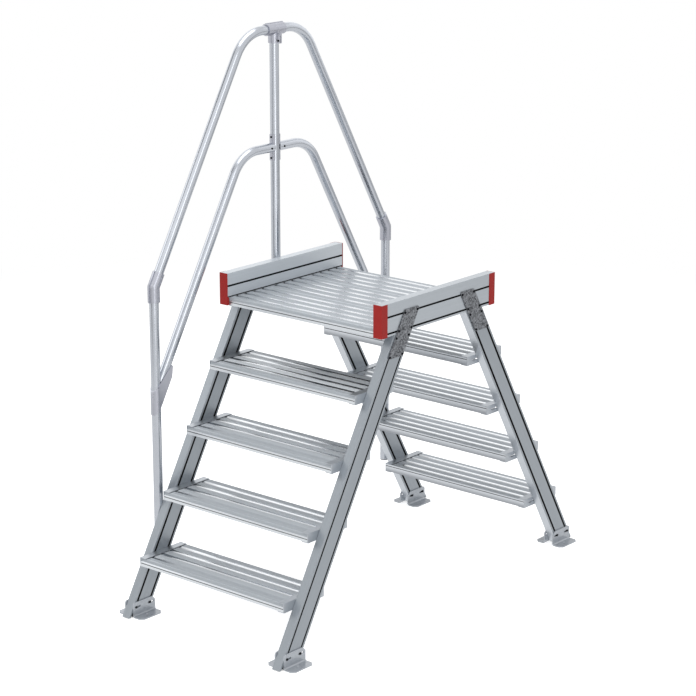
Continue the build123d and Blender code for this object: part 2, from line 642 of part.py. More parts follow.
# Wrap brackets: bent plates round the front and rear posts, with cheeks on both sides of a mid rail leg
wrap_radius = bore_radius + wrap_thickness
wrap_height = 2 * (wrap_lower_drop + wrap_cheek_rise)
wrap_heel = wrap_radius - wrap_lower_drop
cheek_end = wrap_cheek_reach - wrap_cheek_tip
for flight, run in front_and_rear.items():
    corner = wrap_corner[run]
    with BuildPart() as wrap:
        with BuildSketch(Plane(origin=corner - Vector(0, 0, wrap_height / 2), x_dir=(1, 0, 0))):
            Circle(wrap_radius)
            Rectangle(2 * wrap_radius, wrap_cheek_reach,
                      align=(Align.CENTER, Align.MAX if run > 0 else Align.MIN))
            Circle(bore_radius, mode=Mode.SUBTRACT)
            Rectangle(2 * bore_radius, wrap_cheek_reach, mode=Mode.SUBTRACT,
                      align=(Align.CENTER, Align.MAX if run > 0 else Align.MIN))
        extrude(amount=wrap_height)
        with BuildSketch(across(rail_x, corner.Y, corner.Z, -run)):
            Polygon((-wrap_radius, -wrap_lower_drop), (0, wrap_heel),
                    (cheek_end, wrap_heel + cheek_end * slope_tan),
                    (wrap_cheek_reach, wrap_cheek_rise - wrap_cheek_tip), (cheek_end, wrap_cheek_rise),
                    (0, wrap_cheek_start), (-wrap_radius, wrap_collar_rise), align=None)
        extrude(amount=2 * wrap_radius, both=True, mode=Mode.INTERSECT)
        with Locations(*[facing(rail_x - wrap_radius, point.Y, point.Z, -1) for point in wrap_screws[run]]):
            Cylinder(small_screw_hole / 2, wrap_radius, mode=Mode.SUBTRACT)
    save(wrap, f"mid_rail_bracket_{flight}")

# Fasteners: places of all screws in slots, with the nut behind each of them
frame_screw_places = []
bracket_screw_places = []
nut_places = []
for run in front_and_rear.values():
    for side in left_and_right.values():
        up_stile = (0, -run * slope_cos, slope_sin)
        for y, z in gusset_bolts:
            along = up_stile if z < board_bottom else (0, 1, 0)
            frame_screw_places.append(facing(side * (outer_face + gusset_thickness), run * y, z, side))
            nut_places.append(facing(side * (outer_face - slot_lip), run * y, z, side, along))
        for face_x, outward in ((side * outer_face, side), (side * inner_face, -side)):
            for y, z in foot_bolts:
                frame_screw_places.append(facing(face_x + outward * foot_thickness, run * y, z, outward))
                nut_places.append(facing(face_x - outward * slot_lip, run * y, z, outward, up_stile))
        for step in range(1, treads_per_flight + 1):
            for y, z in tread_bolts[step]:
                bracket_screw_places.append(
                    facing(side * (inner_face - bracket_thickness), run * y, z, -side))
                nut_places.append(facing(side * (inner_face + slot_lip), run * y, z, -side, up_stile))
for side in left_and_right.values():
    for middle in deck_middles:
        for shift in (-1, 1):
            y = middle + shift * deck_bolt_spacing / 2
            bracket_screw_places.append(
                facing(side * (inner_face - bracket_thickness), y, deck_bolt_height, -side))
            nut_places.append(facing(side * (inner_face + slot_lip), y, deck_bolt_height, -side))
for y, z in post_bolts:
    along = (0, 1, 0) if z > board_bottom else (0, -slope_cos if y > 0 else slope_cos, slope_sin)
    nut_places.append(facing(slot_lip - outer_face, y, z, -1, along))


def button_screw(diameter, length, head_diameter, head_height):
    """Button head screw along Z with a hex socket: the head stands on z = 0, the shank hangs below."""
    with BuildPart() as screw:
        Cylinder(head_diameter / 2, head_height, align=(Align.CENTER, Align.CENTER, Align.MIN))
        fillet(screw.edges().group_by(Axis.Z)[-1], screw_head_round)
        with BuildSketch(Plane.XY.offset(head_height)):
            RegularPolygon(screw_socket / 2, 6, major_radius=False)
        extrude(amount=-screw_socket_depth, mode=Mode.SUBTRACT)
        Cylinder(diameter / 2, length, align=(Align.CENTER, Align.CENTER, Align.MAX))
    return screw.part


screw_head = (screw_head_diameter, screw_head_height)
small_head = (small_head_diameter, small_head_height)
frame_screw = button_screw(screw_diameter, frame_screw_length, *screw_head)
bracket_screw = button_screw(screw_diameter, bracket_screw_length, *screw_head)
post_bolt = button_screw(screw_diameter, tube_diameter + post_bolt_grip, *screw_head)
elbow_screw = button_screw(screw_diameter, elbow_screw_length, *screw_head)
small_screw = button_screw(small_screw_diameter, small_screw_length, *small_head)
pinch_screw = button_screw(small_screw_diameter, pinch_screw_length, *small_head)

with BuildPart() as frame_screws:
    with Locations(*frame_screw_places):
        add(frame_screw)
save(frame_screws, "frame_screws")

with BuildPart() as bracket_screws:
    with Locations(*bracket_screw_places):
        add(bracket_screw)
save(bracket_screws, "bracket_screws")

with BuildPart() as slot_nuts:
    with Locations(*nut_places):
        Box(nut_side, nut_side, nut_height, align=(Align.CENTER, Align.CENTER, Align.MAX))
        Cylinder(screw_diameter / 2 + thread_clearance, nut_height,
                 align=(Align.CENTER, Align.CENTER, Align.MAX), mode=Mode.SUBTRACT)
save(slot_nuts, "slot_nuts")

with BuildPart() as long_bolts:
    with Locations(*[facing(rail_x - tube_radius, y, z, -1) for y, z in post_bolts]):
        add(post_bolt)
save(long_bolts, "post_bolts")

with BuildPart() as rail_screws:
    with Locations(*[facing(rail_x - clamp_radius, point.Y, point.Z, -1)
                     for points in elbow_screws.values() for point in points]):
        add(elbow_screw)
    with Locations(*[facing(rail_x - wrap_radius, point.Y, point.Z, -1)
                     for points in wrap_screws.values() for point in points]):
        add(small_screw)
    with Locations(*[Plane(origin=(rail_x, run * saddle_radius, height), z_dir=(0, run, 0))
                     for run in (-1, 1) for height in saddle_screw_heights]):
        add(small_screw)
    with Locations(*[facing(rail_x + tube_radius, run * spigot_screw_y, mid_rail_height, 1)
                     for run in (-1, 1)]):
        add(small_screw)
    with Locations(Plane(origin=(pinch_screw_x, -tee_lug_width / 2, pinch_screw_height),
                         z_dir=(0, -1, 0))):
        add(pinch_screw)
save(rail_screws, "rail_screws")
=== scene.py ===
"""Crossover platform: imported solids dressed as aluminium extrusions, sheet, castings, steel and plastic."""

from math import asin, cos, pi, radians, sin

import bmesh
import bpy
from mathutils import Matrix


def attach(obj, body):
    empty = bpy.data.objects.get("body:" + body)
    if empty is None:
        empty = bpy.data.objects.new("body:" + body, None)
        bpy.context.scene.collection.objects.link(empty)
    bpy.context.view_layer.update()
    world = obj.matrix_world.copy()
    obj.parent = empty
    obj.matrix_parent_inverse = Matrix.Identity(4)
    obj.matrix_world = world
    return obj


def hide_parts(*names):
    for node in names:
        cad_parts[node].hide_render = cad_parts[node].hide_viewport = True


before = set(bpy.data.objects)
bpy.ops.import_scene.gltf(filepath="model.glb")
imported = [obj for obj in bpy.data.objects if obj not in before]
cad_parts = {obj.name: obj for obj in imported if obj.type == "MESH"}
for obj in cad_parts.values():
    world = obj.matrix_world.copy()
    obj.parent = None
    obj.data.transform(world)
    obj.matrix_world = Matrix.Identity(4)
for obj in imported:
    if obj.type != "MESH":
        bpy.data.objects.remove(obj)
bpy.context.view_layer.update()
scene = bpy.context.scene
scene.view_settings.view_transform = "Standard"

# Studio: a pale floor in an even white surround, a large soft lamp overhead and a weaker one on the far left,
# curved panels in front, on the left and behind, a tall strip beside the camera for the round tubes, and two
# grey cards on the floor. The camera stands where the photograph was taken from.


def linear(hex_colour):
    """sRGB hex colour as linear RGBA."""
    channels = [int(hex_colour[i:i + 2], 16) / 255 for i in (1, 3, 5)]
    return [c / 12.92 if c <= 0.04045 else ((c + 0.055) / 1.055) ** 2.4 for c in channels] + [1.0]


def add(tree, kind, sockets=None, **settings):
    """Add a node with its settings; sockets maps an input to a value or to the output that feeds it."""
    made = tree.nodes.new(kind)
    for name, value in settings.items():
        setattr(made, name, value)
    for key, value in (sockets or {}).items():
        if isinstance(value, bpy.types.NodeSocket):
            tree.links.new(value, made.inputs[key])
        else:
            made.inputs[key].default_value = value
    return made


def new_material(name):
    """An empty node material, its tree and its Principled shader."""
    material = bpy.data.materials.new(name)
    material.use_nodes = True
    material.node_tree.nodes.clear()
    shader = add(material.node_tree, "ShaderNodeBsdfPrincipled")
    add(material.node_tree, "ShaderNodeOutputMaterial", {"Surface": shader.outputs["BSDF"]})
    return material, material.node_tree, shader


def new_object(name, data):
    """An object in the scene, at the origin."""
    made = bpy.data.objects.new(name, data)
    scene.collection.objects.link(made)
    return made


camera_data = bpy.data.cameras.new("camera")
camera_data.sensor_width = 36.0
camera_data.lens = 118.0
camera_data.clip_end = 200.0
camera = new_object("camera", camera_data)
camera.location = (5.954, -7.103, 3.622)
camera.rotation_euler = (radians(74.34), 0, radians(40.21))
scene.camera = camera

surround_level = 0.58
surround = bpy.data.worlds.new("white_surround")
scene.world = surround
surround.use_nodes = True
tree = surround.node_tree
tree.nodes.clear()
path = add(tree, "ShaderNodeLightPath")
seen = add(tree, "ShaderNodeMath", {0: path.outputs["Is Camera Ray"], 1: path.outputs["Is Glossy Ray"]},
           operation="MAXIMUM")
seen = add(tree, "ShaderNodeMath", {0: seen.outputs[0], 1: path.outputs["Is Transmission Ray"]},
           operation="MAXIMUM")
level = add(tree, "ShaderNodeMapRange", {"Value": seen.outputs[0], "To Min": surround_level, "To Max": 1.0})
glow = add(tree, "ShaderNodeBackground", {"Color": linear("#FFFFFF"), "Strength": level.outputs["Result"]})
add(tree, "ShaderNodeOutputWorld", {"Surface": glow.outputs[0]})

overhead_side = 5.0
overhead_height = 7.5
overhead_radiance = 1.9
lamp_data = bpy.data.lights.new("overhead_lamp", "AREA")
lamp_data.size = overhead_side
lamp_data.energy = overhead_radiance * pi * overhead_side ** 2
lamp = new_object("overhead_lamp", lamp_data)
lamp.location = (0, 0, overhead_height)
lamp.visible_camera = False

side_size = 4.2
side_distance = 7.0
side_azimuth = radians(163)
side_elevation = radians(41)
side_radiance = 0.6
lamp_data = bpy.data.lights.new("side_lamp", "AREA")
lamp_data.size = side_size
lamp_data.energy = side_radiance * pi * side_size ** 2
lamp = new_object("side_lamp", lamp_data)
lamp.location = (side_distance * cos(side_elevation) * cos(side_azimuth),
                 side_distance * cos(side_elevation) * sin(side_azimuth), side_distance * sin(side_elevation))
lamp.rotation_euler = (radians(90) - side_elevation, 0, side_azimuth + radians(90))
lamp.visible_camera = False

strip_width = 1.4
strip_height = 6.2
strip_distance = 5.0
strip_azimuth = radians(-37)
strip_radiance = 1.6
lamp_data = bpy.data.lights.new("strip_lamp", "AREA")
lamp_data.shape = "RECTANGLE"
lamp_data.size = strip_width
lamp_data.size_y = strip_height
lamp_data.energy = strip_radiance * pi * strip_width * strip_height
lamp = new_object("strip_lamp", lamp_data)
lamp.location = (strip_distance * cos(strip_azimuth), strip_distance * sin(strip_azimuth), strip_height / 2)
lamp.rotation_euler = (radians(90), 0, strip_azimuth + radians(90))
lamp.visible_camera = False


def glowing(name, points, faces, level):
    """A studio surface that the camera doesn't see, evenly bright."""
    mesh = bpy.data.meshes.new(name)
    mesh.from_pydata(points, [], faces)
    made = new_object(name, mesh)
    made.visible_camera = False
    material, tree, shader = new_material(name)
    shader.inputs["Base Color"].default_value = linear("#000000")
    shader.inputs["Specular IOR Level"].default_value = 0.0
    shader.inputs["Emission Color"].default_value = linear("#FFFFFF")
    shader.inputs["Emission Strength"].default_value = level
    mesh.materials.append(material)
    return made


# Each panel: name, radius, bottom, top, first and last azimuth, brightness, whether it lights matt surfaces
# and whether metal mirrors it. The sheen is the front panel as the metal sees it, and the flag dims what the
# metal sees above the left panel.
panel_sides = 16
for name, radius, bottom, top, first, last, level, lights, mirrored in (
        ("front_panel", 5.0, 4.2, 6.5, radians(-115), radians(-55), 2.7, True, False),
        ("front_sheen", 5.1, 4.2, 6.5, radians(-115), radians(-55), 1.35, False, True),
        ("left_panel", 5.0, 2.4, 4.1, radians(-160), radians(-132), 2.0, True, True),
        ("left_flag", 5.0, 4.15, 7.0, radians(-165), radians(-122), 0.45, False, True),
        ("back_panel", 4.2, 2.2, 5.5, radians(60), radians(200), 1.30, False, True),
        ("back_card", 4.2, 0.02, 1.9, radians(70), radians(128), 0.70, False, True),
        ("back_left_card", 4.2, 0.02, 1.9, radians(130), radians(190), 1.0, False, True)):
    turns = [first + (last - first) * side / panel_sides for side in range(panel_sides + 1)]
    panel = glowing(name, [(radius * cos(a), radius * sin(a), z) for z in (bottom, top) for a in turns],
                    [(s + 1, s, panel_sides + 1 + s, panel_sides + 2 + s) for s in range(panel_sides)], level)
    panel.visible_diffuse = lights
    panel.visible_glossy = mirrored
    panel.visible_shadow = False

card_outer = 11.5
card_lift = 0.01
card_level = 0.50
card_sides = 8
for name, card_inner, first, last in (("right_card", 6.0, radians(5), radians(105)),
                                      ("left_card", 4.8, radians(-122), radians(-86))):
    turns = [first + (last - first) * side / card_sides for side in range(card_sides + 1)]
    corners = [(r * cos(a), r * sin(a), card_lift) for r in (card_inner, card_outer) for a in turns]
    faces = [(s, card_sides + 1 + s, card_sides + 2 + s, s + 1) for s in range(card_sides)]
    card = glowing(name, corners, faces, card_level)
    card.visible_diffuse = False
    card.visible_shadow = False

floor_half = 60.0
floor_glow = 0.60
floor_bounce = 0.22
shadow_reach = 3.0
white_reach = 6.0
floor_mesh = bpy.data.meshes.new("floor")
floor_mesh.from_pydata([(-floor_half, -floor_half, 0), (floor_half, -floor_half, 0),
                        (floor_half, floor_half, 0), (-floor_half, floor_half, 0)], [], [(0, 1, 2, 3)])
floor = new_object("floor", floor_mesh)
material, tree, shader = new_material("pale_floor")
shader.inputs["Base Color"].default_value = linear("#F9F9F9")
shader.inputs["Roughness"].default_value = 1.0
shader.inputs["Specular IOR Level"].default_value = 0.0
shader.inputs["Emission Color"].default_value = linear("#FFFFFF")
path = add(tree, "ShaderNodeLightPath")
own_glow = add(tree, "ShaderNodeMapRange", {"Value": path.outputs["Is Camera Ray"], "To Min": floor_bounce,
                                            "To Max": floor_glow})
tree.links.new(own_glow.outputs[0], shader.inputs["Emission Strength"])
reflected = add(tree, "ShaderNodeMath", {0: path.outputs["Is Glossy Ray"],
                                         1: path.outputs["Is Transmission Ray"]}, operation="MAXIMUM")
place = add(tree, "ShaderNodeTexCoord").outputs["Object"]
reach = add(tree, "ShaderNodeVectorMath", {0: place}, operation="LENGTH")
far = add(tree, "ShaderNodeMapRange", {"Value": reach.outputs["Value"], "From Min": shadow_reach,
                                       "From Max": white_reach}, interpolation_type="SMOOTHSTEP")
far = add(tree, "ShaderNodeMath", {0: far.outputs[0], 1: path.outputs["Is Camera Ray"]}, operation="MULTIPLY")
plain = add(tree, "ShaderNodeMath", {0: reflected.outputs[0], 1: far.outputs[0]}, operation="MAXIMUM")
white = add(tree, "ShaderNodeEmission", {"Color": linear("#FFFFFF"), "Strength": 1.0})
mixed = add(tree, "ShaderNodeMixShader", {0: plain.outputs[0], 1: shader.outputs[0], 2: white.outputs[0]})
output = next(n for n in tree.nodes if n.type == "OUTPUT_MATERIAL")
tree.links.new(mixed.outputs[0], output.inputs["Surface"])
floor_mesh.materials.append(material)

# Stiles: the four sloping legs, hollow aluminium extrusions with two slots in each side face. They are
# sawn level at the floor and under the toe boards, and everything else is screwed to their slots.
profile_middle = 0.417
profile_half_width = 0.020
slot_shade_depth = 0.0004
die_line_spacing = 0.006
die_line_length = 0.9
die_line_depth = 0.0002
gloss_cloud = 0.12
underside_normal = -0.3
sawn_end_normal = 0.9


# Mill finish aluminium: a satin grey with die lines along the extrusion and a soft cloudiness in its gloss;
# faces that look down are painted paler, as painted light from below. Real die lines lie half a millimetre
# apart; they are drawn 6 mm apart so that they show. The inside of the slots is painted nearly black as
# shade, and so are the lines of painted shade along slots and joints.
def extruded_aluminium(name, turn, middle, half_depth, metallic, dull, bright, painted_shade, painted_shade_reach):
    """Mill finish for an extrusion turned about X, whose middle lies at a height in the turned frame; lines
    of painted shade, each with a height from the middle and half a width, run along the faces within a reach."""
    material, tree, shader = new_material(name)
    place = add(tree, "ShaderNodeTexCoord").outputs["Object"]
    along = add(tree, "ShaderNodeMapping", {"Vector": place, "Rotation": (turn, 0, 0),
                                            "Location": (0, 0, -middle)}).outputs[0]
    stretch = add(tree, "ShaderNodeMapping", {"Vector": along, "Scale": (
        1 / die_line_spacing, 1 / die_line_length, 1 / die_line_spacing)})
    streaks = add(tree, "ShaderNodeTexNoise", {"Vector": stretch.outputs[0], "Scale": 1.0, "Detail": 3.0})
    clouds = add(tree, "ShaderNodeTexNoise", {"Vector": place, "Scale": 1 / gloss_cloud, "Detail": 2.0})
    metal = add(tree, "ShaderNodeMix", {0: streaks.outputs["Fac"], 6: linear(dull), 7: linear(bright)},
                data_type="RGBA")
    facing = add(tree, "ShaderNodeNewGeometry").outputs["True Normal"]
    normal = add(tree, "ShaderNodeSeparateXYZ", {0: facing})
    painted_light_below = add(tree, "ShaderNodeMath", {0: normal.outputs["Z"], 1: underside_normal},
                operation="LESS_THAN")
    # Faces that look down take a paler grey: painted light from below.
    metal = add(tree, "ShaderNodeMix", {0: painted_light_below.outputs[0], 6: metal.outputs[2], 7: linear("#C8CDD3")},
                data_type="RGBA")
    axes = add(tree, "ShaderNodeSeparateXYZ", {0: along})
    outward = add(tree, "ShaderNodeMath", {0: axes.outputs["X"]}, operation="ABSOLUTE")
    side = add(tree, "ShaderNodeMath", {0: outward.outputs[0], 1: profile_middle}, operation="SUBTRACT")
    side = add(tree, "ShaderNodeMath", {0: side.outputs[0]}, operation="ABSOLUTE")
    below_side = add(tree, "ShaderNodeMath", {0: side.outputs[0], 1: profile_half_width - slot_shade_depth},
                     operation="LESS_THAN")
    edge = add(tree, "ShaderNodeMath", {0: axes.outputs["Z"]}, operation="ABSOLUTE")
    below_edge = add(tree, "ShaderNodeMath", {0: edge.outputs[0], 1: half_depth - slot_shade_depth},
                     operation="LESS_THAN")
    inside = add(tree, "ShaderNodeMath", {0: below_side.outputs[0], 1: below_edge.outputs[0]},
                 operation="MULTIPLY")
    lengthwise = add(tree, "ShaderNodeMath", {0: normal.outputs["Y"]}, operation="ABSOLUTE")
    not_sawn = add(tree, "ShaderNodeMath", {0: lengthwise.outputs[0], 1: sawn_end_normal},
                   operation="LESS_THAN")
    dark = add(tree, "ShaderNodeMath", {0: inside.outputs[0], 1: not_sawn.outputs[0]}, operation="MULTIPLY")
    # Lines of painted shade: dark bands along slots and joints that stand in for their shadow.
    reached = add(tree, "ShaderNodeMath", {0: outward.outputs[0], 1: painted_shade_reach}, operation="LESS_THAN")
    for line, half_line in painted_shade:
        painted_darkening = add(tree, "ShaderNodeMath", {0: axes.outputs["Z"], 1: line, 2: half_line},
                    operation="COMPARE")
        painted_darkening = add(tree, "ShaderNodeMath", {0: painted_darkening.outputs[0], 1: reached.outputs[0]},
                    operation="MULTIPLY")
        dark = add(tree, "ShaderNodeMath", {0: dark.outputs[0], 1: painted_darkening.outputs[0]}, operation="MAXIMUM")
    # The inside of the slots and the lines are painted nearly black: painted shade.
    colour = add(tree, "ShaderNodeMix", {0: dark.outputs[0], 6: metal.outputs[2], 7: linear("#0B0C0E")},
                 data_type="RGBA")
    rough = add(tree, "ShaderNodeMapRange", {"Value": clouds.outputs["Fac"], "To Min": 0.28, "To Max": 0.40})
    relief = add(tree, "ShaderNodeBump", {"Height": streaks.outputs["Fac"], "Strength": 0.15,
                                          "Distance": die_line_depth})
    shader.inputs["Metallic"].default_value = metallic
    tree.links.new(colour.outputs[2], shader.inputs["Base Color"])
    tree.links.new(rough.outputs[0], shader.inputs["Roughness"])
    tree.links.new(relief.outputs[0], shader.inputs["Normal"])
    return material


def wear(material, *nodes):
    """Give CAD nodes a material."""
    for name in nodes:
        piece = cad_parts[name]
        piece.data.materials.clear()
        piece.data.materials.append(material)


stile_middle = 0.81177
stile_half_depth = 0.0485
slot_reach = 0.034
slot_shade_half = 0.0052
inner_reach = profile_middle - profile_half_width + slot_shade_depth
outer_reach = profile_middle + profile_half_width + slot_shade_depth
flight_pitch = radians(60)
# Each slot mouth is edged by a band of painted shade, wider than the slot itself.
slot_lines = ((-slot_reach, slot_shade_half), (slot_reach, slot_shade_half))
for flight, turn, painted_shade_reach in (("front", -flight_pitch, inner_reach), ("rear", flight_pitch, outer_reach)):
    stile_finish = extruded_aluminium(f"mill_finish_stile_{flight}", turn, stile_middle, stile_half_depth,
                                      metallic=0.7, dull="#969CA2", bright="#A1A7AD", painted_shade=slot_lines,
                                      painted_shade_reach=painted_shade_reach)
    wear(stile_finish, f"stile_{flight}_left", f"stile_{flight}_right")

# Feet: bent steel plates on both faces of each stile, zinc plated, slotted for the stile screws and with
# one anchor hole in the base. Their sheared edges are broken by a small round.
plate_round = 0.0006
round_segments = 2
merge_distance = 1e-6
same_plane = radians(0.5)
sharp_corner = radians(40)
smooth_limit = radians(46)


def dress(piece, slot, *nodes):
    """A finished piece takes the place of CAD nodes on the one body."""
    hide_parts(*nodes)
    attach(piece, "root")


def eased(name, radius, material, slot, *nodes):
    """Copies of CAD solids with their sharp edges broken by a small round, as one piece in their place."""
    shape = bmesh.new()
    for node in nodes:
        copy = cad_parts[node].data.copy()
        copy.transform(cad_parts[node].matrix_world)
        shape.from_mesh(copy)
        bpy.data.meshes.remove(copy)
    bmesh.ops.remove_doubles(shape, verts=shape.verts, dist=merge_distance)
    bmesh.ops.dissolve_limit(shape, angle_limit=same_plane, verts=shape.verts, edges=shape.edges)
    corners = [e for e in shape.edges if e.is_manifold and e.calc_face_angle() > sharp_corner]
    bmesh.ops.bevel(shape, geom=corners, offset=radius, offset_type="OFFSET", segments=round_segments,
                    profile=0.5, affect="EDGES", clamp_overlap=True)
    for layers in (shape.loops.layers, shape.verts.layers, shape.faces.layers):
        for layer in list(layers.float_vector.values()):
            layers.float_vector.remove(layer)
    mesh = bpy.data.meshes.new(name)
    shape.to_mesh(mesh)
    shape.free()
    mesh.polygons.foreach_set("use_smooth", [True] * len(mesh.polygons))
    mesh.set_sharp_from_angle(angle=smooth_limit)
    mesh.materials.clear()
    mesh.materials.append(material)
    piece = new_object(name, mesh)
    normals = piece.modifiers.new("normals", "WEIGHTED_NORMAL")
    normals.keep_sharp = True
    dress(piece, slot, *nodes)


# Zinc plate: a pale, even grey with soft clouds in its colour and gloss and a slight ripple of the sheet.
def plain_metal(name, dark, light, metallic, cloud, smooth, dull, grain_size, depth):
    """Metal without a direction: soft clouds in its colour and gloss, and a grain of a given depth."""
    material, tree, shader = new_material(name)
    place = add(tree, "ShaderNodeTexCoord").outputs["Object"]
    clouds = add(tree, "ShaderNodeTexNoise", {"Vector": place, "Scale": 1 / cloud, "Detail": 3.0})
    grain = add(tree, "ShaderNodeTexNoise", {"Vector": place, "Scale": 1 / grain_size, "Detail": 2.0})
    colour = add(tree, "ShaderNodeMix", {0: clouds.outputs["Fac"], 6: linear(dark), 7: linear(light)},
                 data_type="RGBA")
    rough = add(tree, "ShaderNodeMapRange", {"Value": clouds.outputs["Fac"], "To Min": smooth,
                                             "To Max": dull})
    relief = add(tree, "ShaderNodeBump", {"Height": grain.outputs["Fac"], "Strength": 0.5,
                                          "Distance": depth})
    shader.inputs["Metallic"].default_value = metallic
    tree.links.new(colour.outputs[2], shader.inputs["Base Color"])
    tree.links.new(rough.outputs[0], shader.inputs["Roughness"])
    tree.links.new(relief.outputs[0], shader.inputs["Normal"])
    return material


zinc_plate = plain_metal("zinc_plated_steel", "#A6ABB2", "#B6BBC1", metallic=0.4, cloud=0.02, smooth=0.16,
                         dull=0.26, grain_size=0.002, depth=0.00006)
for run in ("front", "rear"):
    for side in ("left", "right"):
        for face in ("outer", "inner"):
            eased(f"foot_plate_{run}_{side}_{face}", plate_round, zinc_plate, "foot_steel",
                  f"foot_{run}_{side}_{face}")

# Brackets: C-shaped channels over the tread ends and angles under the deck plank ends, pressed from
# aluminium sheet and screwed to the slots of stiles and boards.
# Pressed sheet: smooth and silvery, with faint clouds left by the press.
bracket_finish = plain_metal("pressed_aluminium", "#AEB3B9", "#BCC1C7", metallic=0.8, cloud=0.03, smooth=0.28,
                             dull=0.38, grain_size=0.002, depth=0.0001)
for run in ("front", "rear"):
    for side in ("left", "right"):
        eased(f"brackets_{run}_{side}", plate_round, bracket_finish, "bracket_aluminium",
              f"tread_brackets_{run}_{side}")
for side in ("left", "right"):
    eased(f"brackets_deck_{side}", plate_round, bracket_finish, "bracket_aluminium", f"deck_brackets_{side}")

# Treads and deck planks: aluminium extrusions, hollow and open underneath between their webs, with four round
# grooves on top and a sunk line in each face. Outer edges are nosed above a sloped shoulder, the others are
# square. The planks rest in the brackets, eight in the flights and three side by side in the deck.
plank_length = 0.788
plank_depth = 0.240
plank_height = 0.034
plank_skin = 0.006
plank_wall = 0.0025
web_spacing = 0.060
groove_count = 4
groove_spacing = 0.053
groove_width = 0.020
groove_depth = 0.0016
groove_steps = 10
nosing_radius = 0.006
nosing_inset = 0.003
nosing_drop = 0.013
nosing_line_drop = 0.0195
edge_radius = 0.0015
edge_line_drop = 0.0065
line_height = 0.003
line_depth = 0.002
flange_edge = 0.364
tread_rise = 0.250
tread_going = 0.144338
nosing_reach = 0.341
plank_pitch = 0.241

groove_radius = (groove_width ** 2 / 4 + groove_depth ** 2) / (2 * groove_depth)
groove_sweep = asin(groove_width / 2 / groove_radius)
half = plank_depth / 2
hollow_half = half - plank_wall - nosing_inset
hollow_round = nosing_radius - plank_wall
round_steps = 6
quarter = [pi / 2 * step / round_steps for step in range(round_steps + 1)]


def plank_edge(nosed):
    """One long edge of a plank, from its foot up: a nosing above a shoulder, or a square corner."""
    line = nosing_line_drop if nosed else edge_line_drop
    reach = half - nosing_inset if nosed else half
    radius = nosing_radius if nosed else edge_radius
    edge = [(half, -plank_height), (half, -line - line_height), (half - line_depth, -line - line_height),
            (half - line_depth, -line), (half, -line)]
    if nosed:
        edge += [(half, -nosing_drop - nosing_inset), (reach, -nosing_drop)]
    return edge + [(reach - radius + radius * cos(a), -radius + radius * sin(a)) for a in quarter]


def plank_section(name, right_nosed, left_nosed):
    """Closed section of a plank square to X; each point knows its place across and its height."""
    points = plank_edge(right_nosed)
    for groove in reversed(range(groove_count)):
        middle = (groove - (groove_count - 1) / 2) * groove_spacing
        for step in range(groove_steps + 1):
            a = groove_sweep * (1 - 2 * step / groove_steps)
            points.append((middle + groove_radius * sin(a),
                           groove_radius - groove_depth - groove_radius * cos(a)))
    points += [(-y, z) for y, z in reversed(plank_edge(left_nosed))]
    hollow = [(hollow_half, -plank_height)]
    hollow += [(hollow_half - hollow_round + hollow_round * cos(a),
                -plank_skin - hollow_round + hollow_round * sin(a)) for a in quarter]
    points += [(-y, z) for y, z in hollow]
    for web in (-1, 0, 1):
        near, far = web * web_spacing - plank_wall / 2, web * web_spacing + plank_wall / 2
        points += [(near, -plank_skin), (near, -plank_height), (far, -plank_height), (far, -plank_skin)]
    points += reversed(hollow)
    mesh = bpy.data.meshes.new(name)
    mesh.from_pydata([(0, y, z) for y, z in points], [], [list(range(len(points)))])
    mesh.attributes.new("across", "FLOAT", "POINT").data.foreach_set("value", [y for y, z in points])
    mesh.attributes.new("height", "FLOAT", "POINT").data.foreach_set("value", [z for y, z in points])
    return mesh


# Zones of the section: places in from a face, down from the top or across, with half widths and margins
flat_margin = 0.00005
nosing_zone, nosing_zone_half = 0.006, 0.0036
drop_margin = 0.0002
sunk_zone, sunk_zone_half = 0.0012, 0.0011
line_zone, line_zone_half = 0.013, 0.0105
shoulder_zone_half = 0.002
skin_margin = 0.0003
foot_from, foot_full = -0.012, -0.030
painted_light_from, painted_light_full = -0.105, -0.07
# Wear, painted shade and painted light: where each begins and is full, along the passage, across a plank,
# over its length, by height
near_from, near_full = -0.10, -0.36
worn_from, worn_full = 0.012, -0.10
scuffed_from, scuffed_full = -0.02, -0.07
stepped_from, stepped_full = -0.36, -0.12
end_shade_from, end_shade_full = -0.27, -0.39
stile_shade_from, stile_shade_full, stile_shade_most = -0.20, 0.10, 0.45
deck_groove_shade = 0.22
flange_shade, flange_shade_half = 0.0015, 0.002
deck_from = 1.2
top_tread_from = 0.9
painted_light_low, painted_light_high, painted_light_least = 0.80, 0.95, 0.30
draw_line_length, draw_line_width, draw_line_share = 0.9, 0.008, 0.4
grit_cloud = 0.012

# Blasted and drawn aluminium: dull grey grip flats and nosings with a fine grain, painted paler on the near
# flight as painted light, most so on its top tread in the deck's shade; silky bright grooves, dulled by
# treading at the front of the near flight and painted darker as shade at their left ends, on the deck and on
# that top tread; satin faces painted darker towards the foot as shade, but painted even and pale on the near
# flight as painted light, with the line sunk in each painted nearly black as shade; painted shadow along the
# bracket
# flanges; and the underside of the deck painted dark as shade. The grit of the blasting is finer than a
# pixel:
# it is drawn as clouds of 12 mm, and the draw lines are drawn 8 mm apart.
material, tree, shader = new_material("grooved_plank_aluminium")
place = add(tree, "ShaderNodeTexCoord").outputs["Object"]
across = add(tree, "ShaderNodeAttribute", attribute_name="across").outputs["Fac"]
height = add(tree, "ShaderNodeAttribute", attribute_name="height").outputs["Fac"]
reach = add(tree, "ShaderNodeMath", {0: across}, operation="ABSOLUTE").outputs[0]
flat = add(tree, "ShaderNodeMath", {0: height, 1: -flat_margin}, operation="GREATER_THAN").outputs[0]
by_nosing = add(tree, "ShaderNodeMath", {0: reach, 1: half - nosing_zone, 2: nosing_zone_half},
                operation="COMPARE").outputs[0]
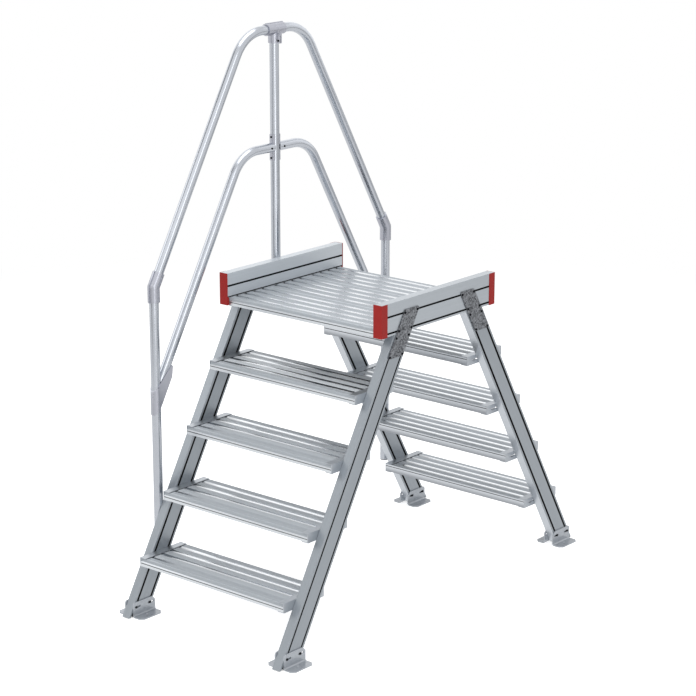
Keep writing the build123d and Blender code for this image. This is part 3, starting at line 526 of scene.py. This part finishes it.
above_drop = add(tree, "ShaderNodeMath", {0: height, 1: -nosing_drop / 2, 2: nosing_drop / 2 - drop_margin},
                 operation="COMPARE").outputs[0]
nosing = add(tree, "ShaderNodeMath", {0: by_nosing, 1: above_drop}, operation="MULTIPLY").outputs[0]
grip = add(tree, "ShaderNodeMath", {0: flat, 1: nosing}, operation="MAXIMUM").outputs[0]
behind_face = add(tree, "ShaderNodeMath", {0: reach, 1: half - sunk_zone, 2: sunk_zone_half},
                  operation="COMPARE").outputs[0]
lined = add(tree, "ShaderNodeMath", {0: height, 1: -line_zone, 2: line_zone_half},
            operation="COMPARE").outputs[0]
shoulder = add(tree, "ShaderNodeMath", {0: height, 1: -nosing_drop - nosing_inset / 2, 2: shoulder_zone_half},
               operation="COMPARE").outputs[0]
lined = add(tree, "ShaderNodeMath", {0: lined, 1: shoulder}, operation="SUBTRACT").outputs[0]
sunk = add(tree, "ShaderNodeMath", {0: lined, 1: behind_face}, operation="MULTIPLY").outputs[0]
on_top = add(tree, "ShaderNodeMath", {0: reach, 1: half - nosing_inset - nosing_radius},
             operation="LESS_THAN").outputs[0]
axes = add(tree, "ShaderNodeSeparateXYZ", {0: place})
near = add(tree, "ShaderNodeMapRange", {"Value": axes.outputs["Y"], "From Min": near_from,
                                        "From Max": near_full}).outputs[0]
tread = add(tree, "ShaderNodeMath", {0: axes.outputs["Z"], 1: deck_from}, operation="LESS_THAN").outputs[0]
outward = add(tree, "ShaderNodeMath", {0: across, 1: near}, operation="MULTIPLY").outputs[0]
low = add(tree, "ShaderNodeMath", {0: axes.outputs["Z"], 1: top_tread_from}, operation="LESS_THAN").outputs[0]
outward = add(tree, "ShaderNodeMath", {0: outward, 1: low}, operation="MULTIPLY").outputs[0]
trodden = add(tree, "ShaderNodeMapRange", {"Value": outward, "From Min": worn_from,
                                           "From Max": worn_full}).outputs[0]
smooth = add(tree, "ShaderNodeMapRange", {"Value": outward, "From Min": scuffed_from,
                                          "From Max": scuffed_full}).outputs[0]
stepped_on = add(tree, "ShaderNodeMapRange", {"Value": axes.outputs["X"], "From Min": stepped_from,
                                              "From Max": stepped_full},
                 interpolation_type="SMOOTHSTEP").outputs[0]
smooth = add(tree, "ShaderNodeMath", {0: smooth, 1: stepped_on}, operation="MULTIPLY").outputs[0]
smooth = add(tree, "ShaderNodeMath", {0: smooth, 1: on_top}, operation="MULTIPLY").outputs[0]
dulled = add(tree, "ShaderNodeMath", {0: grip, 1: smooth}, operation="MAXIMUM").outputs[0]
stretch = add(tree, "ShaderNodeMapping", {"Vector": place, "Scale": (
    1 / draw_line_length, 1 / draw_line_width, 1 / draw_line_width)})
streaks = add(tree, "ShaderNodeTexNoise", {"Vector": stretch.outputs[0], "Scale": 1.0,
                                           "Detail": 2.0}).outputs["Fac"]
grain = add(tree, "ShaderNodeTexNoise", {"Vector": place, "Scale": 1 / grit_cloud,
                                         "Detail": 3.0}).outputs["Fac"]
faint = add(tree, "ShaderNodeMath", {0: streaks, 1: draw_line_share}, operation="MULTIPLY").outputs[0]
groove = add(tree, "ShaderNodeMix", {0: trodden, 6: linear("#F0F3F6"), 7: linear("#C8CCD1")},
             data_type="RGBA").outputs[2]
# Grooves are painted darker near the left ends, on the deck and on the near flight's top tread towards the
# right: painted shade.
by_end = add(tree, "ShaderNodeMapRange", {"Value": axes.outputs["X"], "From Min": end_shade_from,
                                          "From Max": end_shade_full}).outputs[0]
painted_darkening = add(tree, "ShaderNodeMapRange", {"Value": tread, "To Min": deck_groove_shade, "To Max": 0.0}).outputs[0]
painted_darkening = add(tree, "ShaderNodeMath", {0: painted_darkening, 1: by_end}, operation="MAXIMUM").outputs[0]
top_step = add(tree, "ShaderNodeMath", {0: tread, 1: low}, operation="SUBTRACT").outputs[0]
top_step = add(tree, "ShaderNodeMath", {0: top_step, 1: near}, operation="MULTIPLY").outputs[0]
by_stile = add(tree, "ShaderNodeMapRange", {
    "Value": axes.outputs["X"], "From Min": stile_shade_from, "From Max": stile_shade_full,
    "To Min": 0.0, "To Max": stile_shade_most}).outputs[0]
by_stile = add(tree, "ShaderNodeMath", {0: by_stile, 1: top_step}, operation="MULTIPLY").outputs[0]
painted_darkening = add(tree, "ShaderNodeMath", {0: painted_darkening, 1: by_stile}, operation="MAXIMUM").outputs[0]
groove = add(tree, "ShaderNodeMix", {0: painted_darkening, 6: groove, 7: linear("#7A7E84")}, data_type="RGBA").outputs[2]
# Faces are painted darker towards their foot: painted shade.
foot = add(tree, "ShaderNodeMapRange", {"Value": height, "From Min": foot_from,
                                        "From Max": foot_full}).outputs[0]
face = add(tree, "ShaderNodeMix", {0: foot, 6: linear("#D8DCE1"), 7: linear("#969AA0")},
           data_type="RGBA").outputs[2]
# Faces on the near flight are painted paler and even: painted light.
face = add(tree, "ShaderNodeMix", {0: near, 6: face, 7: linear("#E4E8EC")}, data_type="RGBA").outputs[2]
silky = add(tree, "ShaderNodeMix", {0: on_top, 6: face, 7: groove}, data_type="RGBA").outputs[2]
silky = add(tree, "ShaderNodeMix", {0: faint, 6: silky, 7: linear("#C4C8CD")}, data_type="RGBA").outputs[2]
dull = add(tree, "ShaderNodeMix", {0: grain, 6: linear("#A2A8AE"), 7: linear("#AEB4BA")},
           data_type="RGBA").outputs[2]
# Flats of the near flight are painted paler, most on the top tread in the deck's shade: painted light.
painted_light_by_height = add(tree, "ShaderNodeMapRange", {
    "Value": axes.outputs["Z"], "From Min": painted_light_low, "From Max": painted_light_high,
    "To Min": painted_light_least, "To Max": 1.0}).outputs[0]
pale = add(tree, "ShaderNodeMath", {0: near, 1: tread}, operation="MULTIPLY").outputs[0]
pale = add(tree, "ShaderNodeMath", {0: pale, 1: flat}, operation="MULTIPLY").outputs[0]
pale = add(tree, "ShaderNodeMath", {0: pale, 1: painted_light_by_height}, operation="MULTIPLY").outputs[0]
behind = add(tree, "ShaderNodeMapRange", {"Value": across, "From Min": painted_light_from,
                                          "From Max": painted_light_full}).outputs[0]
pale = add(tree, "ShaderNodeMath", {0: pale, 1: behind}, operation="MULTIPLY").outputs[0]
dull = add(tree, "ShaderNodeMix", {0: pale, 6: dull, 7: linear("#D6DBE0")}, data_type="RGBA").outputs[2]
colour = add(tree, "ShaderNodeMix", {0: dulled, 6: silky, 7: dull}, data_type="RGBA").outputs[2]
# The hollow underside of the deck is painted dark: painted shade.
hidden = add(tree, "ShaderNodeMath", {0: height, 1: skin_margin - plank_skin},
             operation="LESS_THAN").outputs[0]
within = add(tree, "ShaderNodeMath", {0: reach, 1: hollow_half + skin_margin},
             operation="LESS_THAN").outputs[0]
hollow = add(tree, "ShaderNodeMath", {0: hidden, 1: within}, operation="MULTIPLY").outputs[0]
hollow = add(tree, "ShaderNodeMath", {0: hollow, 1: tread}, operation="SUBTRACT", use_clamp=True).outputs[0]
colour = add(tree, "ShaderNodeMix", {0: hollow, 6: colour, 7: linear("#64686E")}, data_type="RGBA").outputs[2]
# A line of painted shadow on the tread top beside each bracket flange.
side = add(tree, "ShaderNodeMath", {0: axes.outputs["X"]}, operation="ABSOLUTE").outputs[0]
by_flange = add(tree, "ShaderNodeMath", {0: side, 1: flange_edge - flange_shade, 2: flange_shade_half},
                operation="COMPARE").outputs[0]
by_flange = add(tree, "ShaderNodeMath", {0: by_flange, 1: on_top}, operation="MULTIPLY").outputs[0]
painted_shade = add(tree, "ShaderNodeMath", {0: by_flange, 1: tread}, operation="MULTIPLY").outputs[0]
# The sunk face line and the flange line are painted nearly black: painted shade.
dark = add(tree, "ShaderNodeMath", {0: sunk, 1: painted_shade}, operation="MAXIMUM").outputs[0]
colour = add(tree, "ShaderNodeMix", {0: dark, 6: colour, 7: linear("#303338")}, data_type="RGBA").outputs[2]
rough = add(tree, "ShaderNodeMapRange", {"Value": on_top, "To Min": 0.38, "To Max": 0.20}).outputs[0]
rough = add(tree, "ShaderNodeMix", {0: dulled, 2: rough, 3: 0.60}).outputs[0]
metal = add(tree, "ShaderNodeMapRange", {"Value": dulled, "To Min": 1.0, "To Max": 0.25}).outputs[0]
tree.links.new(metal, shader.inputs["Metallic"])
tree.links.new(colour, shader.inputs["Base Color"])
tree.links.new(rough, shader.inputs["Roughness"])
plank_finish = material

tree = bpy.data.node_groups.new("planks_in_a_row", "GeometryNodeTree")
tree.interface.new_socket("Section", in_out="INPUT", socket_type="NodeSocketGeometry")
plank_inputs = {}
for label, kind in (("Length", "Float"), ("Count", "Int"), ("First Place", "Vector"), ("Step", "Vector"),
                    ("Finish", "Material")):
    made = tree.interface.new_socket(label, in_out="INPUT", socket_type=f"NodeSocket{kind}")
    plank_inputs[label] = made.identifier
tree.interface.new_socket("Planks", in_out="OUTPUT", socket_type="NodeSocketGeometry")
given = add(tree, "NodeGroupInput").outputs
to_end = add(tree, "ShaderNodeCombineXYZ", {"X": add(tree, "ShaderNodeMath", {0: given["Length"], 1: -0.5},
                                                     operation="MULTIPLY").outputs[0]})
start = add(tree, "GeometryNodeTransform", {"Geometry": given["Section"], "Translation": to_end.outputs[0]})
run = add(tree, "ShaderNodeCombineXYZ", {"X": given["Length"]})
drawn = add(tree, "GeometryNodeExtrudeMesh", {"Mesh": start.outputs[0], "Offset": run.outputs[0],
                                              "Offset Scale": 1.0, "Individual": False}, mode="FACES")
back = add(tree, "GeometryNodeFlipFaces", {"Mesh": start.outputs[0]})
plank = add(tree, "GeometryNodeJoinGeometry")
tree.links.new(drawn.outputs["Mesh"], plank.inputs[0])
tree.links.new(back.outputs[0], plank.inputs[0])
plank = add(tree, "GeometryNodeMergeByDistance", {"Geometry": plank.outputs[0], "Distance": merge_distance})
row = add(tree, "GeometryNodeMeshLine", {"Count": given["Count"], "Start Location": given["First Place"],
                                         "Offset": given["Step"]}, mode="OFFSET")
laid = add(tree, "GeometryNodeInstanceOnPoints", {"Points": row.outputs[0], "Instance": plank.outputs[0]})
solid = add(tree, "GeometryNodeRealizeInstances", {"Geometry": laid.outputs[0]})
dressed = add(tree, "GeometryNodeSetMaterial", {"Geometry": solid.outputs[0], "Material": given["Finish"]})
add(tree, "NodeGroupOutput", {"Planks": dressed.outputs[0]})
planks_tree = tree


def from_tree(name, source, group, values):
    """Run a node tree on a source mesh with its named values, and keep the result as a plain mesh piece."""
    maker = new_object(f"{name}_maker", source)
    modifier = maker.modifiers.new("tree", "NODES")
    modifier.node_group = group
    for identifier, value in values.items():
        modifier[identifier] = value
    maker.update_tag()
    bpy.context.view_layer.update()
    made = bpy.data.meshes.new_from_object(maker.evaluated_get(bpy.context.evaluated_depsgraph_get()))
    made.name = name
    maker.modifiers.remove(modifier)
    bpy.data.objects.remove(maker)
    return new_object(name, made)


tread_count = 4
first_tread = nosing_reach + tread_count * tread_going - plank_depth / 2
deck_top = (tread_count + 1) * tread_rise
groove_edge_angle = radians(17)
faces_front = plank_section("plank_faces_front", False, True)
faces_rear = plank_section("plank_faces_rear", True, False)
square = plank_section("plank_square", False, False)
rows = {
    "treads_front": (faces_front, (0, -first_tread, tread_rise), (0, tread_going, tread_rise),
                     [f"tread_front_{step}" for step in range(1, tread_count + 1)]),
    "treads_rear": (faces_rear, (0, first_tread, tread_rise), (0, -tread_going, tread_rise),
                    [f"tread_rear_{step}" for step in range(1, tread_count + 1)]),
    "deck_front": (faces_front, (0, -plank_pitch, deck_top), (0, plank_pitch, 0), ["deck_plank_1"]),
    "deck_middle": (square, (0, 0, deck_top), (0, plank_pitch, 0), ["deck_plank_2"]),
    "deck_rear": (faces_rear, (0, plank_pitch, deck_top), (0, plank_pitch, 0), ["deck_plank_3"]),
}
for name, (section, first_place, step, nodes) in rows.items():
    planks = from_tree(name, section, planks_tree, {
        plank_inputs["Length"]: plank_length, plank_inputs["Count"]: len(nodes),
        plank_inputs["First Place"]: first_place, plank_inputs["Step"]: step,
        plank_inputs["Finish"]: plank_finish})
    planks.data.polygons.foreach_set("use_smooth", [True] * len(planks.data.polygons))
    planks.data.set_sharp_from_angle(angle=groove_edge_angle)
    dress(planks, "plank_aluminium", *nodes)

# Toe boards: taller extrusions of the same kind along both sides of the deck, slotted like the stiles.
# They stand on the stiles, carry the deck planks' brackets and stop feet and tools at the deck's edge.
board_middle = 1.2855
board_half_depth = 0.0675
deck_shade_half = 0.00225
# A band of painted shadow runs along each board's inner face just above the deck.
deck_line = deck_top + deck_shade_half - board_middle
# The left board is painted paler than the right: painted light on its inner face beside the deck.
for side, dull, bright in (("left", "#C2C8CE", "#CCD2D8"), ("right", "#ACB2B8", "#B6BCC2")):
    board_finish = extruded_aluminium(f"mill_finish_painted_light_board_{side}", 0, board_middle, board_half_depth,
                                      metallic=0.45, dull=dull, bright=bright,
                                      painted_shade=((deck_line, deck_shade_half), ), painted_shade_reach=inner_reach)
    wear(board_finish, f"toe_board_{side}")

# End caps: red plastic mouldings that close the ends of the toe boards, wrapped round the outer face and
# pushed home with a peg.
cap_round = 0.0012
cap_cloud = 0.03
cap_grain = 0.0025
cap_grain_depth = 0.0002

# Moulded plastic: an even red with a faint cloudiness and a soft, slightly grained skin.
material, tree, shader = new_material("moulded_red_plastic")
place = add(tree, "ShaderNodeTexCoord").outputs["Object"]
clouds = add(tree, "ShaderNodeTexNoise", {"Vector": place, "Scale": 1 / cap_cloud, "Detail": 2.0})
grain = add(tree, "ShaderNodeTexNoise", {"Vector": place, "Scale": 1 / cap_grain, "Detail": 1.0})
colour = add(tree, "ShaderNodeMix", {0: clouds.outputs["Fac"], 6: linear("#921C1A"), 7: linear("#A02421")},
             data_type="RGBA")
rough = add(tree, "ShaderNodeMapRange", {"Value": clouds.outputs["Fac"], "To Min": 0.42, "To Max": 0.55})
relief = add(tree, "ShaderNodeBump", {"Height": grain.outputs["Fac"], "Strength": 0.2,
                                      "Distance": cap_grain_depth})
tree.links.new(colour.outputs[2], shader.inputs["Base Color"])
tree.links.new(rough.outputs[0], shader.inputs["Roughness"])
tree.links.new(relief.outputs[0], shader.inputs["Normal"])
shader.inputs["Specular IOR Level"].default_value = 0.2
cap_plastic = material
for run in ("front", "rear"):
    for side in ("left", "right"):
        eased(f"cap_{run}_{side}", cap_round, cap_plastic, "cap_plastic", f"end_cap_{run}_{side}")

# Gussets: steel plates on the outer faces of stile and board, sheared along the flight, hot-dip galvanised
# and screwed to the slots of both.
spangle_size = 0.006
spangle_depth = 0.0003
dust_size = 0.003
dust_share = 0.3

# Galvanised sheet: patches of zinc crystals, each with its own grey and its own gloss, dusted by the bath.
material, tree, shader = new_material("galvanised_steel")
place = add(tree, "ShaderNodeTexCoord").outputs["Object"]
spangle = add(tree, "ShaderNodeTexVoronoi", {"Vector": place, "Scale": 1 / spangle_size, "Randomness": 1.0})
tone = add(tree, "ShaderNodeSeparateXYZ", {0: spangle.outputs["Color"]})
dust = add(tree, "ShaderNodeTexNoise", {"Vector": place, "Scale": 1 / dust_size, "Detail": 3.0})
blend = add(tree, "ShaderNodeMix", {0: dust_share, 2: tone.outputs["X"], 3: dust.outputs["Fac"]})
colour = add(tree, "ShaderNodeMix", {0: blend.outputs[0], 6: linear("#222428"), 7: linear("#A4A7AC")},
             data_type="RGBA")
rough = add(tree, "ShaderNodeMapRange", {"Value": tone.outputs["Y"], "To Min": 0.35, "To Max": 0.6})
relief = add(tree, "ShaderNodeBump", {"Height": tone.outputs["Z"], "Strength": 0.3,
                                      "Distance": spangle_depth})
shader.inputs["Metallic"].default_value = 1.0
tree.links.new(colour.outputs[2], shader.inputs["Base Color"])
tree.links.new(rough.outputs[0], shader.inputs["Roughness"])
tree.links.new(relief.outputs[0], shader.inputs["Normal"])
for run in ("front", "rear"):
    for side in ("left", "right"):
        eased(f"gusset_plate_{run}_{side}", plate_round, material, "gusset_steel", f"gusset_{run}_{side}")

# Posts and rails: drawn aluminium tubes, 40 mm across. The posts are bolted through to stiles and board on
# the left side, and the top rail and the two halves of the mid rail are bent to the pitch of the flights.
# Drawn tube: silvery and smooth enough to mirror its surroundings softly, with a slow waviness.
tube_finish = plain_metal("drawn_tube_aluminium", "#B6BAC1", "#C4C8CF", metallic=1.0, cloud=0.06, smooth=0.17,
                          dull=0.23, grain_size=0.05, depth=0.00002)
wear(tube_finish, "top_rail", "mid_rail_front", "mid_rail_rear", "post_front", "post_centre", "post_rear")

# Post plugs: black plastic discs with a spigot, moulded and pushed into the lower ends of the posts.
plug_cloud = 0.01

# Moulded plastic: near black, with a faint cloudiness and a half matt skin.
material, tree, shader = new_material("black_plastic")
place = add(tree, "ShaderNodeTexCoord").outputs["Object"]
clouds = add(tree, "ShaderNodeTexNoise", {"Vector": place, "Scale": 1 / plug_cloud, "Detail": 2.0})
colour = add(tree, "ShaderNodeMix", {0: clouds.outputs["Fac"], 6: linear("#1A1B1D"), 7: linear("#26282A")},
             data_type="RGBA")
tree.links.new(colour.outputs[2], shader.inputs["Base Color"])
shader.inputs["Roughness"].default_value = 0.5
wear(material, "post_plugs")

# Rail clamps: aluminium castings. Two half shells with a seam rib close round each elbow of the handrail,
# and a tee with a slit collar and a pinch lug carries the top rail on the centre post.
# Cast aluminium: a little greyer than the tubes, with the soft unevenness of a tumbled casting.
clamp_finish = plain_metal("cast_aluminium", "#ACAEB7", "#B8BAC3", metallic=0.9, cloud=0.02, smooth=0.24,
                           dull=0.34, grain_size=0.006, depth=0.00008)
for run in ("front", "rear"):
    for half_name in ("outer", "inner"):
        eased(f"elbow_clamp_{run}_{half_name}", plate_round, clamp_finish, "clamp_aluminium",
              f"elbow_{run}_{half_name}_half")
eased("tee_clamp_casting", plate_round, clamp_finish, "clamp_aluminium", "tee_clamp")

# Saddles and wraps: aluminium brackets of the mid rail. The saddles sit on the centre post with a spigot in
# each rail end; the wraps are bent round the outer posts, with a cheek on each side of the rail.
for run in ("front", "rear"):
    eased(f"saddle_{run}_pressing", plate_round, clamp_finish, "rail_bracket_aluminium", f"saddle_{run}")
    eased(f"wrap_{run}_pressing", plate_round, clamp_finish, "rail_bracket_aluminium",
          f"mid_rail_bracket_{run}")

# Screws and nuts: button head socket screws of blackened steel, turned into square zinc plated nuts that
# slide in the slots; long bolts go right through the posts, small screws hold the rail fittings.
# Blackened steel: nearly black, with a satin sheen that varies from head to head.
black_steel = plain_metal("blackened_steel", "#141619", "#22252A", metallic=1.0, cloud=0.004, smooth=0.30,
                          dull=0.45, grain_size=0.001, depth=0.00005)
wear(black_steel, "frame_screws", "bracket_screws", "post_bolts", "rail_screws")
# Zinc plated nuts: painted a dull, dark grey as painted shade of the slot they sit in.
zinc_nut = plain_metal("zinc_nut_steel", "#5C6066", "#70757B", metallic=1.0, cloud=0.006, smooth=0.35,
                       dull=0.5, grain_size=0.001, depth=0.00005)
wear(zinc_nut, "slot_nuts")
